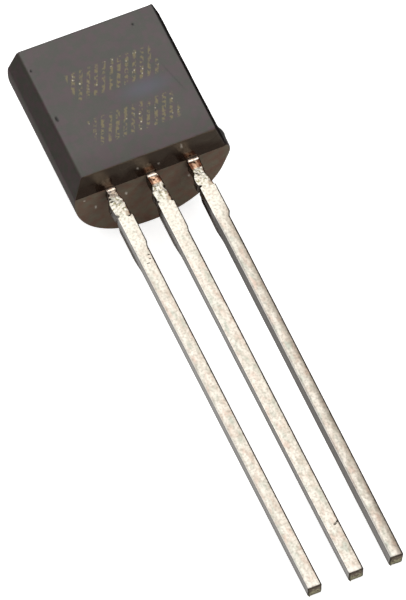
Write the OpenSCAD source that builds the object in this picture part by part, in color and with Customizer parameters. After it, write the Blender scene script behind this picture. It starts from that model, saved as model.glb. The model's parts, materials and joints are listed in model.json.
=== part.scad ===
// Small-signal transistor in a three-lead moulded package, lying on its round back.
//
// Package frame, in millimetres: X across the leads, Y from the flat front to the round back with
// the mould's parting plane at Y = 0, and Z up the body, with the leads' exits at Z = 0.
// rest() turns that frame so that the package lies on a floor at Z = 0.

/* [Moulded body] */
// Height of the body, along the leads
body_h = 4.97; // [4.4:0.01:5.4]
// Width of the flat front face
flat_w = 4.25; // [3.8:0.05:4.4]
// Depth of the front half, from the flat face back to the parting plane
front_depth = 0.78; // [0.7:0.02:1.2]
// Radius of the round back
round_r = 2.4; // [2.3:0.05:2.7]
// How far the centre of the round back lies behind the parting plane
round_centre = 0.26; // [0:0.02:0.4]
// How far the top of the front half slopes back over its depth
top_draft = 0.08; // [0:0.01:0.25]
// How far the underside of the front half slopes back over its depth
bottom_draft = 0.19; // [0:0.01:0.3]
// How far the ends of the back half slope in over its depth
back_draft = 0.05; // [0:0.01:0.2]
// Radius on the edges of the front half
edge_r = 0.08; // [0.03:0.01:0.2]

/* [Mould marks] */
// Diameter of the ejector pin that pushes the round back out of the mould
ejector_d = 1.5; // [0.8:0.1:1.8]
// Depth of the ejector pin's mark
ejector_depth = 0.16; // [0.05:0.01:0.3]
// Height of the ejector pin's mark above the leads' exits
ejector_height = 2.9; // [1.6:0.1:3.4]
// Height of the stub left on the right side, where the gate broke off
gate_h = 0.75; // [0.4:0.05:1.2]
// Thickness of the gate stub, from the front to the back
gate_t = 0.24; // [0.1:0.02:0.4]
// How far the gate stub lies behind the parting plane
gate_back = 0.08; // [0:0.02:0.2]
// How far the gate stub stands out at its upper end
gate_out = 0.11; // [0.06:0.01:0.15]
// Radius on the gate stub's upper end
gate_r = 0.08; // [0.02:0.01:0.1]

/* [Leads] */
// Distance between the leads' centres
pitch = 1.27; // [1.2:0.01:1.35]
// Length of the leads below the body
lead_length = 14.4; // [5:0.1:18]
// Width of a lead
lead_w = 0.4; // [0.32:0.01:0.46]
// Thickness of the lead frame's strip
lead_t = 0.4; // [0.3:0.01:0.5]
// How far a lead leans to the right between the body and its tip
lead_lean = 0.03; // [0:0.01:0.1]
// Length of the neck between the body and the cut tie bar
neck_length = 1.05; // [0.75:0.05:1.5]
// How far the punch cut into the right side of the neck
neck_cut = 0.08; // [0.02:0.01:0.12]
// Length of the narrow throat at the top of the neck
throat_length = 0.42; // [0.2:0.02:0.5]
// How far the left side steps in at the throat
throat_cut = 0.08; // [0.02:0.01:0.12]
// Length of the stub that the cut tie bar left on the right side
stub_length = 1; // [0.5:0.05:1.5]
// How far that stub stands out
stub_step = 0.07; // [0.02:0.01:0.1]
// Length of the slopes below the throat and below the stub
side_slope = 0.14; // [0.05:0.01:0.25]
// Depth of the nick that the punch left on the left side, beside the stub's top
nick_depth = 0.1; // [0.02:0.01:0.12]
// Height of that nick
nick_h = 0.06; // [0.02:0.01:0.12]

/* [Lead frame inside the body] */
// Height of the bond posts' lower edges above the exits
post_height = 0.5; // [0.35:0.05:0.8]
// Width of a bond post
post_w = 0.9; // [0.6:0.05:1.05]
// Length of a bond post
post_length = 0.7; // [0.4:0.05:0.9]
// Gap between the bond posts and the die flag
flag_gap = 0.4; // [0.2:0.05:0.5]
// Width of the collector lead's stem beside the posts
stem_w = 0.5; // [0.4:0.05:0.6]
// Width of the die flag
flag_w = 2.7; // [2.2:0.05:3]
// Height of the die flag
flag_h = 2; // [1.4:0.05:2.1]
// Radius on the corners of the posts and the flag
frame_corner_r = 0.12; // [0.05:0.01:0.18]

/* [Die and bond wires] */
// Length of each side of the die
die_side = 0.56; // [0.4:0.02:0.8]
// Thickness of the die
die_t = 0.2; // [0.1:0.01:0.25]
// Thickness of the solder that holds the die
attach_t = 0.03; // [0.02:0.01:0.05]
// How far the solder spreads past each side of the die
attach_spread = 0.05; // [0.02:0.01:0.1]
// Distance between the two bond pads on the die
pad_pitch = 0.24; // [0.18:0.02:0.3]
// Diameter of the bond wires
wire_d = 0.04; // [0.03:0.005:0.06]
// Diameter of the ball where a wire starts on the die
ball_d = 0.1; // [0.08:0.01:0.12]
// Height of a wire's loop above the straight line between its ends
loop_h = 0.28; // [0.15:0.01:0.3]

/* [Hidden] */

// Round faces and the short arcs on moulded and stamped edges
$fn = 96;
ARC_STEPS = 4;
// A bond wire's turns and sides
WIRE_RINGS = 16;
WIRE_SIDES = 6;
// Share of a wire's length that its ball and the neck over it take
BALL_SHARE = 0.12;

// Half the width at the parting plane, where the round back begins
parting_x = sqrt(pow(round_r, 2) - pow(round_centre, 2));
back_depth = round_centre + round_r;

// Heights inside the body
post_top = post_height + post_length;
flag_bottom = post_top + flag_gap;
flag_right = pitch + stem_w / 2;
die_x = flag_right - flag_w / 2 - pad_pitch;
die_z = flag_bottom + flag_h * 0.45;
die_front = -attach_t - die_t;
pad_z = die_z - die_side / 4;
post_bond_z = post_height + post_length / 2;

// At rest the round back's lowest edge and the leads' tips touch the floor
rest_tilt = atan((back_depth - lead_t) / (lead_length + back_draft));
rest_z = back_depth * cos(rest_tilt) - back_draft * sin(rest_tilt);
rest_y_min = -lead_length * cos(rest_tilt);
rest_y_max = back_depth * sin(rest_tilt) + (body_h - back_draft) * cos(rest_tilt);

// ---- helpers ----

function unit(v) = v / norm(v);

// Turns a 2D vector by an angle in degrees
function turned(v, angle) = [v.x * cos(angle) - v.y * sin(angle), v.x * sin(angle) + v.y * cos(angle)];

// Points of the arc of radius r that rounds corner p, met by the sides from a and to b
function rounded(a, p, b, r) =
    let (
        u = unit(a - p),
        v = unit(b - p),
        half = acos(u * v) / 2,
        centre = p + unit(u + v) * r / sin(half),
        start = p + u * r / tan(half) - centre,
        end = p + v * r / tan(half) - centre,
        sweep = acos(unit(start) * unit(end)) * sign(cross(start, end))
    )
    [for (i = [0 : ARC_STEPS]) centre + turned(start, sweep * i / ARC_STEPS)];

// An outline whose corners are all rounded, except that a radius of 0 keeps a corner sharp
function outline(corners, radii) =
    let (n = len(corners))
    [for (i = [0 : n - 1])
        each radii[i] > 0
            ? rounded(corners[(i + n - 1) % n], corners[i], corners[(i + 1) % n], radii[i])
            : [corners[i]]];

// Lays the package on its round back, centred over the floor's origin
module rest() {
    translate([0, -(rest_y_min + rest_y_max) / 2, rest_z])
        rotate([rest_tilt - 90, 0, 0])
            children();
}

// ---- moulded body ----

// Section across the leads: a drafted front half and a round back
module body_plan() {
    flat_x = flat_w / 2;
    intersection() {
        translate([0, round_centre])
            circle(round_r);
        translate([-round_r, 0])
            square([2 * round_r, back_depth]);
    }
    polygon(outline(
        [[-parting_x, 0], [-flat_x, -front_depth], [flat_x, -front_depth], [parting_x, 0], [0, round_centre]],
        [0, edge_r, edge_r, 0, 0]));
}

// Section along the leads: both halves narrow away from the parting plane
module body_side() {
    polygon(outline(
        [[0, 0], [back_depth, back_draft], [back_depth, body_h - back_draft], [0, body_h],
         [-front_depth, body_h - top_draft], [-front_depth, bottom_draft]],
        [0, 0, 0, 0, edge_r, edge_r]));
}

module body_form() {
    intersection() {
        linear_extrude(body_h)
            body_plan();
        translate([-round_r, 0, 0])
            rotate([90, 0, 90])
                linear_extrude(2 * round_r)
                    body_side();
    }
}

// Where the mould's gate broke off, low on the right side, behind the parting plane
module gate_stub() {
    inside = flat_w / 2;
    translate([0, gate_back + gate_t, 0])
        rotate([90, 0, 0])
            linear_extrude(gate_t)
                polygon(outline(
                    [[inside, back_draft], [round_r + gate_out / 2, back_draft],
                     [round_r + gate_out, gate_h], [inside, gate_h]],
                    [0, 0, gate_r, 0]));
}

// The round, flat mark that the ejector pin leaves in the round back
module ejector_mark() {
    translate([0, back_depth - ejector_depth, ejector_height])
        rotate([-90, 0, 0])
            cylinder(d = ejector_d, h = 2 * ejector_depth);
}

// ---- lead frame ----

// A flat stamping: an outline across X and Z, as thick as the strip
module stamped() {
    translate([0, lead_t, 0])
        rotate([90, 0, 0])
            linear_extrude(lead_t)
                children();
}

// Shifts a lead's point sideways, so that the lead's middle is on its pitch at the tip
function leaned(p) = [p.x - lead_lean * (1 + p.y / lead_length), p.y];

// The part of a lead that shows below the body and runs up to a height inside it
module lead_blank(top) {
    side = lead_w / 2;
    stub_bottom = -neck_length - stub_length;
    sides = [
        [-side, -lead_length], [side, -lead_length],
        [side, stub_bottom - side_slope], [side + stub_step, stub_bottom],
        [side + stub_step, -neck_length], [side - neck_cut, -neck_length],
        [side - neck_cut, top], [throat_cut - side, top],
        [throat_cut - side, -throat_length], [-side, -throat_length - side_slope],
        [-side, nick_h - neck_length], [nick_depth - side, nick_h / 2 - neck_length],
        [-side, -neck_length]];
    polygon([for (p = sides) leaned(p)]);
}

// A rectangle with rounded corners, given by its lowest corner and its size
module plate(corner, size) {
    r = frame_corner_r;
    far = corner + size;
    polygon(outline([corner, [far.x, corner.y], far, [corner.x, far.y]], [r, r, r, r]));
}

// A lead that ends in a bond post inside the body
module post_lead() {
    stamped() {
        lead_blank(post_top - frame_corner_r);
        plate([-post_w / 2, post_height], [post_w, post_length]);
    }
}

module emitter_lead_form() {
    translate([-pitch, 0, 0])
        post_lead();
}

module base_lead_form() {
    post_lead();
}

// The lead that carries the die on its flag
module collector_lead_form() {
    stem_bottom = post_height;
    stamped() {
        translate([pitch, 0])
            lead_blank(flag_bottom);
        plate([pitch - stem_w / 2, stem_bottom], [stem_w, flag_bottom + flag_h - stem_bottom]);
        plate([flag_right - flag_w, flag_bottom], [flag_w, flag_h]);
    }
}

// ---- die and bond wires ----

module die_attach_form() {
    spread = die_side + 2 * attach_spread;
    translate([die_x - spread / 2, -attach_t, die_z - spread / 2])
        cube([spread, attach_t, spread]);
}

module die_form() {
    translate([die_x - die_side / 2, die_front, die_z - die_side / 2])
        cube([die_side, die_t, die_side]);
}

// Radius of a wire at a share of its length: a ball on the die, then the plain wire
function wire_r(share) =
    share < BALL_SHARE ? (ball_d + (wire_d - ball_d) * share / BALL_SHARE) / 2 : wire_d / 2;

// A wire from a bond pad up over a half-ellipse loop and down onto a post.
// start and end are [x, z]; both ends are cut flat, on the die's face and on the lead frame's.
module bond_wire(start, end) {
    run = end - start;
    along = unit(run);
    rings = [for (i = [0 : WIRE_RINGS])
        let (
            angle = 180 * i / WIRE_RINGS,
            share = (1 - cos(angle)) / 2,
            d_share = sin(angle) / 2,
            middle = start + run * share,
            y = die_front * (1 - share) - loop_h * sin(angle),
            slope = [norm(run) * d_share, -die_front * d_share - loop_h * cos(angle)],
            normal = turned(unit(slope), 90),
            r = wire_r(i / WIRE_RINGS)
        )
        for (k = [0 : WIRE_SIDES - 1])
            let (
                out = r * cos(360 * k / WIRE_SIDES),
                aside = r * sin(360 * k / WIRE_SIDES),
                flat = middle + along * out * normal.x + [-along.y, along.x] * aside
            )
            [flat.x, y + out * normal.y, flat.y]];
    last = WIRE_RINGS * WIRE_SIDES;
    polyhedron(
        points = rings,
        faces = [
            [for (k = [0 : WIRE_SIDES - 1]) k],
            [for (k = [WIRE_SIDES - 1 : -1 : 0]) last + k],
            for (i = [0 : WIRE_RINGS - 1], k = [0 : WIRE_SIDES - 1])
                let (a = i * WIRE_SIDES + k, b = i * WIRE_SIDES + (k + 1) % WIRE_SIDES)
                each [[a, a + WIRE_SIDES, b + WIRE_SIDES], [a, b + WIRE_SIDES, b]]
        ]);
}

module emitter_wire_form() {
    bond_wire([die_x - pad_pitch / 2, pad_z], [-pitch, post_bond_z]);
}

module base_wire_form() {
    bond_wire([die_x + pad_pitch / 2, pad_z], [0, post_bond_z]);
}

// ---- nodes ----

// Epoxy moulded round everything inside it
module moulded_body() {
    color("#4c4744")
        rest()
            difference() {
                union() {
                    body_form();
                    gate_stub();
                }
                ejector_mark();
                emitter_lead_form();
                base_lead_form();
                collector_lead_form();
                die_attach_form();
                die_form();
                emitter_wire_form();
                base_wire_form();
            }
}

module emitter_lead() {
    color("silver")
        rest()
            emitter_lead_form();
}

module base_lead() {
    color("silver")
        rest()
            base_lead_form();
}

module collector_lead() {
    color("silver")
        rest()
            collector_lead_form();
}

module die_attach() {
    color("lightgray")
        rest()
            die_attach_form();
}

module die() {
    color("slategray")
        rest()
            die_form();
}

module emitter_wire() {
    color("gold")
        rest()
            emitter_wire_form();
}

module base_wire() {
    color("gold")
        rest()
            base_wire_form();
}

moulded_body();
emitter_lead();
base_lead();
collector_lead();
die_attach();
die();
emitter_wire();
base_wire();
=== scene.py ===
"""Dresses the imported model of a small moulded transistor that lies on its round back.

Everything here is worked out in the package's own frame, in millimetres: x across the leads, y from
the flat front to the round back with the mould's parting plane at y = 0, and z up the body with the
leads' exits at z = 0. placed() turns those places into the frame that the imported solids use.
"""

import json
import math
from typing import NamedTuple

import bmesh
import bpy
import numpy as np
from mathutils import Matrix, Vector


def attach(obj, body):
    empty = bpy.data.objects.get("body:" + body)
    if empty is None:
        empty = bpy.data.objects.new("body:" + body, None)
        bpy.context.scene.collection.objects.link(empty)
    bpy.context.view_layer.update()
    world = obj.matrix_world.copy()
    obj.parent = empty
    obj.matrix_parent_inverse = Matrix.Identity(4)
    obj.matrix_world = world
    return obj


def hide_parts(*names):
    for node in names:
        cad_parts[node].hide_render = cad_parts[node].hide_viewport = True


bl_info = {
    "name": "Moulded transistor",
    "version": (1, 0, 0),
    "blender": (4, 5, 0),
    "location": "3D View > Sidebar > Transistor",
    "description": "Builds the moulded body, the tinned leads and a studio for a three-lead transistor",
    "category": "Add Mesh",
}

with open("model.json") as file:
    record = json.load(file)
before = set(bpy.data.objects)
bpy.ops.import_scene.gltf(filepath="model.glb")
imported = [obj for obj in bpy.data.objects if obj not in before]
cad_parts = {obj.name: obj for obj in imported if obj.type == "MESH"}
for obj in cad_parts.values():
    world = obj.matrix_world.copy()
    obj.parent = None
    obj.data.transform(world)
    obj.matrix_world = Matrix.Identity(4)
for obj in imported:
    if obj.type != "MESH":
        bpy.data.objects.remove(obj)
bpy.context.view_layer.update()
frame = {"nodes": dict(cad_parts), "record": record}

MM = 0.001


# ---- colours, sizes and places ----


def linear(hex_colour):
    """Linear RGBA of an sRGB colour written as six hex digits."""
    channels = np.array([int(hex_colour[i : i + 2], 16) for i in (0, 2, 4)]) / 255
    curved = ((channels + 0.055) / 1.055) ** 2.4
    return (*np.where(channels <= 0.04045, channels / 12.92, curved).tolist(), 1.0)


# The package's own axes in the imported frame, from the two mounts that its record gives
MOUNTS = {mount["name"]: mount for mount in frame["record"]["mounts"]}
BACK = -np.array(MOUNTS["flat_front"]["axis"])
UP = -np.array(MOUNTS["lead_row"]["axis"])
TURN = np.array([np.cross(BACK, UP), BACK, UP])
EXITS = np.array(MOUNTS["lead_row"]["pos_m"])


def measured(node, origin):
    """A CAD node's points in the package's frame, in millimetres from an origin in metres."""
    mesh = frame["nodes"][node].data
    points = np.empty(len(mesh.vertices) * 3)
    mesh.vertices.foreach_get("co", points)
    return (points.reshape(-1, 3) - origin) @ TURN.T / MM


# The lead row's mount lies in the middle of the leads' thickness, behind the parting plane
LEAD_T = float(np.ptp(measured("base_lead", EXITS)[:, 1]))
ORIGIN = EXITS - BACK * LEAD_T / 2 * MM


def placed(points):
    """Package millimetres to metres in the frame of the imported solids."""
    return ORIGIN + points @ TURN * MM


BODY = measured("moulded_body", ORIGIN)
PARTING = BODY[np.abs(BODY[:, 1]) < 0.001]

FRONT_DEPTH = float(-BODY[:, 1].min())
BACK_DEPTH = float(BODY[:, 1].max())
BODY_H = float(PARTING[:, 2].max())
PARTING_X = float(PARTING[:, 0].max())
ROUND_R = float(-BODY[:, 0].min())
ROUND_CENTRE = BACK_DEPTH - ROUND_R


def length(name, millimetres, description):
    """A length property, kept in metres so that Blender can show it in any unit."""
    return bpy.props.FloatProperty(
        name=name, description=description, default=millimetres * MM, min=0, unit="LENGTH", precision=6
    )


def colour(name, hex_colour, description):
    """A colour property with an sRGB default."""
    return bpy.props.FloatVectorProperty(
        name=name, description=description, default=linear(hex_colour), size=4, subtype="COLOR", min=0, max=1
    )


def angle(name, degrees, description):
    """An angle property, given in degrees."""
    return bpy.props.FloatProperty(
        name=name, description=description, default=math.radians(degrees), subtype="ANGLE"
    )


class BodySettings(bpy.types.PropertyGroup):
    """Sizes and colours of the moulded body."""

    flat_width: length("Flat width", 4.25, "Width of the flat front, before its edges are rounded")
    top_draft: length("Top draft", 0.08, "How far the top slopes back over the front half")
    bottom_draft: length("Bottom draft", 0.19, "How far the underside slopes back over the front half")
    back_draft: length("Back draft", 0.05, "How far both ends slope in over the back half")
    face_edge: length("Face edge", 0.12, "Setback of the rounding between the flat front and its sides")
    top_edge: length("Top edge", 0.09, "Setback of the rounding round the top of the front half")
    strip_edge: length("Strip edge", 0.05, "Setback of the rounding along the foot of the flat front")
    back_edge: length("Back edge", 0.02, "Setback of the rounding at the ends of the round back")
    flash: length("Flash", 0.004, "How far the thin fin of flash stands out at the parting line")
    polished: colour("Polished epoxy", "4a423f", "Epoxy where the cavity was polished")
    matte: colour("Matte epoxy", "615043", "Epoxy where the cavity was spark eroded")
    etched: colour("Etched marks", "7d7358", "Epoxy turned golden brown by the marking laser")


class LeadSettings(bpy.types.PropertyGroup):
    """Sizes and colours of the tinned leads."""

    corner_radius: length("Corner radius", 0.035, "Radius on the edges of a tinned lead")
    lump_height: length("Lump height", 0.024, "Height of the lumps in the tin on the necks")
    tin: colour("Tin", "ddd6ca", "Hot-dipped tin on the flat faces")
    sheared: colour("Sheared side", "cfccc8", "Thin, rough tin on the sheared sides")
    copper: colour("Copper", "eec2a2", "Bare copper of the lead frame")
    # Painted shade: the near-black colour of the notches in the tin
    notch_shade_colour: colour("Flux", "2a221c", "Burnt flux in the notches of the tin")


class DieSettings(bpy.types.PropertyGroup):
    """Colours of what lies inside the moulding."""

    silicon: colour("Silicon", "6d7480", "Passivated silicon of the die")
    solder: colour("Solder", "b9b7b0", "Soft solder under the die")
    gold: colour("Gold", "f2c469", "Gold of the bond wires")


class StageSettings(bpy.types.PropertyGroup):
    """Camera, floor and lights."""

    azimuth: angle("Azimuth", -19.57, "Camera's angle round the part")
    elevation: angle("Elevation", 50.15, "Camera's angle above the floor")
    roll: angle("Roll", -5.01, "Camera's turn about its own axis")
    lens: bpy.props.FloatProperty(
        name="Lens", description="Focal length for a 36 mm sensor", default=540, min=1, unit="CAMERA"
    )
    distance: length("Distance", 256.46, "From the camera to the part")
    floor: colour("Floor", "f2f1ef", "Plain pale floor")
    softbox: bpy.props.FloatProperty(
        name="Softbox", description="Radiance of the overhead softbox", default=1.5, min=0
    )
    card: bpy.props.FloatProperty(
        name="Card", description="Radiance of the small card in front of the leads", default=5.0, min=0
    )
    sky: bpy.props.FloatProperty(name="Sky", description="Radiance of the room", default=0.42, min=0)


# ---- arrays and meshes ----


def smooth(low, high, values):
    """0 at low, 1 at high, and the cubic 3t^2 - 2t^3 between them."""
    t = np.clip((values - low) / (high - low), 0, 1)
    return t * t * (3 - 2 * t)


def band(low, high, border, values):
    """1 between low and high and 0 outside, blended over the border to either side."""
    return smooth(low - border, low + border, values) * smooth(high + border, high - border, values)


def lumps(points, size, seed):
    """Smooth noise from 0 to 1: random values on a lattice of that size, blended by cubics."""
    count = 32
    lattice = np.random.default_rng(seed).random((count, count, count))
    cells = points / size
    low = np.floor(cells).astype(int)
    t = smooth(0, 1, cells - low)
    total = np.zeros(points.shape[:-1])
    for corner in np.ndindex(2, 2, 2):
        near = (low + corner) % count
        weight = np.prod(np.where(np.array(corner) == 1, t, 1 - t), axis=-1)
        total += weight * lattice[near[..., 0], near[..., 1], near[..., 2]]
    return total


def spots(across, along, places):
    """1 at the middle of each oval place (x, z, half width, half height) and 0 from its rim out."""
    reach = np.zeros(across.shape)
    for x, z, half_x, half_z in places:
        far = np.hypot((across - x) / half_x, (along - z) / half_z)
        reach = np.maximum(reach, smooth(1.2, 0.4, far))
    return reach


def mounds(across, along, places):
    """Bell-shaped mounds (x, z, half width, half height): 1 at the middle, falling off by its square."""
    height = np.zeros(across.shape)
    for x, z, half_x, half_z in places:
        far = np.hypot((across - x) / half_x, (along - z) / half_z)
        height = np.maximum(height, np.exp(-1.5 * far**2))
    return height


# Shares of an edge's radius at which extra stations lie, so that the rounding is itself smooth
EDGE_SHARES = np.array([0, 0.2, 0.4, 0.6, 0.8])


def graded(start, stop, count, edge):
    """Stations from start to stop: count even ones, and closer ones within edge of both ends."""
    near = edge * EDGE_SHARES
    return np.concatenate([start + near, np.linspace(start + edge, stop - edge, count), (stop - near)[::-1]])


def grid_faces(rows, columns, closed=False):
    """Quads between neighbouring rows and columns of a grid of points numbered row by row."""
    row = np.arange(rows - 1)[:, None]
    column = np.arange(columns if closed else columns - 1)[None]
    after = (column + 1) % columns
    corners = [row * columns + column, row * columns + after,
               (row + 1) * columns + after, (row + 1) * columns + column]
    return np.stack(corners, -1).reshape(-1, 4)


# Points closer than this are one point, in metres
WELD = 4e-7


def make_piece(name, points, faces, finishes, materials, attributes):
    """A mesh object from points in package millimetres, quads and each quad's number in materials.

    Doubled points are merged, which closes seams and poles, and the faces are turned outwards.
    """
    mesh = bpy.data.meshes.new(name)
    mesh.from_pydata(placed(points), [], faces)
    mesh.polygons.foreach_set("material_index", finishes.astype(np.int32))
    for key, values in attributes.items():
        mesh.attributes.new(key, "FLOAT", "POINT").data.foreach_set("value", values.astype(np.float32))
    merged = bmesh.new()
    merged.from_mesh(mesh)
    bmesh.ops.remove_doubles(merged, verts=merged.verts, dist=WELD)
    bmesh.ops.recalc_face_normals(merged, faces=merged.faces)
    merged.to_mesh(mesh)
    merged.free()
    mesh.shade_smooth()
    for material in materials:
        mesh.materials.append(material)
    piece = bpy.data.objects.new(name, mesh)
    bpy.context.scene.collection.objects.link(piece)
    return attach(piece, "root")


# ---- moulded body ----

FACE_COLUMNS, FACET_COLUMNS, WALL_ROWS, CAP_ROWS = 140, 18, 150, 40
POLISHED, GLOSSY, MATTE = range(3)
ROUNDING_STEPS = 6
# Extra setback of the rounding at the lower right corner, and where an edge's closer stations end
CORNER_EDGE, NEAR_EDGE = 0.15, 0.1

# Ejector pin's mark: diameter, depth and height over the exits
EJECTOR_D, EJECTOR_DEPTH, EJECTOR_Z = 1.5, 0.16, 2.9
# Gate stub: where it rises and falls from front to back, and how far it stands out at each height
GATE_FRONT, GATE_BACK = (-0.06, 0.1), (0.3, 0.95)
GATE_HEIGHTS = (-0.03, 0.0, 0.05, 0.12, 0.3, 0.42, 0.52, 0.6, 0.67, 0.73)
GATE_OUTS = (0.06, 0.08, 0.08, 0.075, 0.08, 0.09, 0.1, 0.085, 0.04, 0)
# Small pits in the flat front: x, z, half width, half height
PITS = ((-2.0, 4.12, 0.04, 0.05), (-1.96, 2.31, 0.045, 0.11), (1.34, 4.44, 0.035, 0.045))
PIT_DEPTH = 0.03
# Specks of white dust on the underside and on the strip before it: x, y, half width, half depth
DUST = (
    (-1.74, 0.77, 0.03, 0.09), (-2.1, 0.21, 0.03, 0.03), (1.19, 0.89, 0.03, 0.07), (-0.79, 0.62, 0.03, 0.08),
    (-0.4, -0.36, 0.03, 0.04), (0.25, -0.26, 0.025, 0.04), (1.0, -0.6, 0.03, 0.1),
)
# Two plain bands of etched hatching: lowest and highest x, lowest and highest z, and how far their
# borders blend to each side
HATCH_BANDS, HATCH_BORDER = ((-1.2, 1.5, 2.62, 3.58), (-1.2, 1.44, 1.0, 1.9)), 0.03
# How thick the film of mould release lies along the foot of the flat front, at each x
FILM_X = (-2.3, -1.7, -1.2, -0.75, -0.1, 0.5, 1.1, 1.5, 2.1, 2.4)
FILM = (0.45, 0.55, 0.7, 1.0, 0.7, 0.75, 0.6, 1.0, 1.1, 0.9)
# A shallow scratch across the flat front, painted dark as the shade in its groove: both ends (x, z) and half
# its width
SCRATCH, SCRATCH_HALF_W = ((1.53, 2.93), (1.85, 1.68)), 0.014
# A painted sheen on the flat front: a bluish cloud that stands in for a soft reflection: x, z, half width,
# half height
PAINTED_SHEEN = (0.8, 2.3, 0.9, 0.36)


def sloped(y, front_draft, size):
    """How far an end has sloped in: a straight line from the parting plane to either side."""
    return np.where(y < 0, -front_draft / MM * y / FRONT_DEPTH, size.back_draft / MM * y / BACK_DEPTH)


def bottom_z(y, size):
    """Height of the underside, which rises towards the front and the back."""
    return sloped(y, size.bottom_draft, size)


def top_z(y, size):
    """Height of the top, which falls towards the front and the back."""
    return BODY_H - sloped(y, size.top_draft, size)


def wall_patch(x, y, size):
    """Upright wall over an outline: straight lines from the underside to the top."""
    share = graded(0, 1, WALL_ROWS, NEAR_EDGE / BODY_H)[:, None]
    low, high = bottom_z(y, size), top_z(y, size)
    z = low + share * (high - low)
    return np.stack([np.broadcast_to(x, z.shape), np.broadcast_to(y, z.shape), z], -1)


def end_patch(starts, stops, share, height, size):
    """Top or underside between two outlines of as many stations: straight lines from one to the other."""
    plan = starts + share[:, None, None] * (stops - starts)
    return np.concatenate([plan, height(plan[..., 1:], size)], -1)


def sharp_body(size):
    """The moulding with sharp edges, as grids of points, each with its finish."""
    flat_x = size.flat_width / MM / 2
    facet = math.hypot(PARTING_X - flat_x, FRONT_DEPTH)
    across = graded(-flat_x, flat_x, FACE_COLUMNS, NEAR_EDGE)
    out = graded(0, 1, FACET_COLUMNS, NEAR_EDGE / facet)
    start = math.pi + math.asin(ROUND_CENTRE / ROUND_R)
    turn = np.linspace(start, math.pi - start, across.size)
    face = np.stack([across, np.full(across.size, -FRONT_DEPTH)], -1)
    parting = np.stack([across / flat_x * PARTING_X, np.zeros(across.size)], -1)
    arc = np.stack([ROUND_R * np.cos(turn), ROUND_CENTRE + ROUND_R * np.sin(turn)], -1)
    side_x = flat_x + out * (PARTING_X - flat_x)
    side_y = -FRONT_DEPTH * (1 - out)
    rim = graded(0, 1, CAP_ROWS, NEAR_EDGE / BACK_DEPTH)
    return [
        (wall_patch(*face.T, size), POLISHED),
        (wall_patch(side_x, side_y, size), POLISHED),
        (wall_patch(-side_x, side_y, size), POLISHED),
        (wall_patch(*arc.T, size), POLISHED),
        (end_patch(face, parting, out, bottom_z, size), GLOSSY),
        (end_patch(face, parting, out, top_z, size), POLISHED),
        (end_patch(parting, arc, rim, bottom_z, size), MATTE),
        (end_patch(parting, arc, rim, top_z, size), MATTE),
    ]


def soft_max(first, second, width):
    """The larger of two distances, blended with the other where they differ by less than width.

    Each is given with its slopes. With h = 1 - |difference| / width, the blend adds width h^2 / 4,
    and the smaller one's slopes get a share of h / 2.
    """
    (a, a_slopes), (b, b_slopes) = first, second
    near = np.maximum(width - np.abs(a - b), 0) / width
    share = np.where(a > b, 1 - near / 2, near / 2)[:, None]
    return np.maximum(a, b) + width * near**2 / 4, share * a_slopes + (1 - share) * b_slopes


def body_distance(points, size):
    """Distance out of the moulding and its slopes: the largest of its sides' distances, blended.

    The edges between the sides are as round as each blend is wide. The lower right corner, beside
    the gate, is the roundest.
    """
    flat_x = size.flat_width / MM / 2
    top, bottom, back = size.top_draft / MM, size.bottom_draft / MM, size.back_draft / MM

    def side(x, y, z, offset):
        outward = np.array([x, y, z]) / math.hypot(x, y, z)
        return points @ outward - offset / math.hypot(x, y, z), np.broadcast_to(outward, points.shape)

    x, y, z = points.T
    low_right = smooth(flat_x - 0.5, PARTING_X, x) * smooth(0.6, 0.0, z)
    inner = smooth(flat_x, flat_x - 0.15, np.abs(x))
    face_edge, top_edge, strip_edge = size.face_edge / MM, size.top_edge / MM, size.strip_edge / MM
    front = side(0, -1, 0, FRONT_DEPTH)
    for way, width in ((1, face_edge / 3), (-1, face_edge)):
        facet = side(way * FRONT_DEPTH, flat_x - PARTING_X, 0, FRONT_DEPTH * PARTING_X)
        front = soft_max(front, facet, width)
    front = soft_max(front, side(0, -bottom, -FRONT_DEPTH, 0), strip_edge + CORNER_EDGE * low_right)
    over = side(0, -top, FRONT_DEPTH, FRONT_DEPTH * BODY_H)
    front = soft_max(front, over, top_edge * (0.45 + 0.55 * inner))
    spoke = points[:, :2] - [0, ROUND_CENTRE]
    reach = np.maximum(np.linalg.norm(spoke, axis=1), 0.01)
    rear = (reach - ROUND_R, np.pad(spoke / reach[:, None], ((0, 0), (0, 1))))
    for end in (side(0, back, -BACK_DEPTH, 0), side(0, back, BACK_DEPTH, BACK_DEPTH * BODY_H)):
        rear = soft_max(rear, end, size.back_edge / MM)
    return soft_max(front, rear, size.back_edge / MM / 2)


def rounded_body(points, size):
    """Moves the sharp moulding's points onto the rounded one, and gives the outward directions too.

    Each step takes every point back along its slopes by its distance (Newton's method).
    """
    for _ in range(ROUNDING_STEPS):
        beyond, slopes = body_distance(points, size)
        points = points - (beyond / (slopes**2).sum(1))[:, None] * slopes
    slopes = body_distance(points, size)[1]
    return points, slopes / np.linalg.norm(slopes, axis=1, keepdims=True)


def body_relief(points, outward, size):
    """The rounded moulding with its ejector mark, gate stub, pits and flash."""
    x, y, z = points.T
    pits = spots(x, z, PITS) * (outward[:, 1] < -0.9)
    pin = smooth(EJECTOR_D / 2 + 0.02, EJECTOR_D / 2 - 0.02, np.hypot(x, z - EJECTOR_Z))
    sunk = pin * np.maximum(y - (BACK_DEPTH - EJECTOR_DEPTH), 0)
    torn = 0.9 + 0.2 * lumps(points, 0.09, 5)
    bulge = smooth(*GATE_FRONT, y) * smooth(*GATE_BACK[::-1], y)
    stub = np.interp(z, GATE_HEIGHTS, GATE_OUTS) * bulge * torn * smooth(0.3, 0.9, outward[:, 0])
    fin = size.flash / MM * smooth(0.025, 0.0, np.abs(y)) * smooth(0.35, 0.75, lumps(points, 0.3, 8))
    moved = points + outward * (fin - PIT_DEPTH * pits)[:, None]
    moved[:, 0] += stub
    moved[:, 1] -= sunk
    return moved


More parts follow.
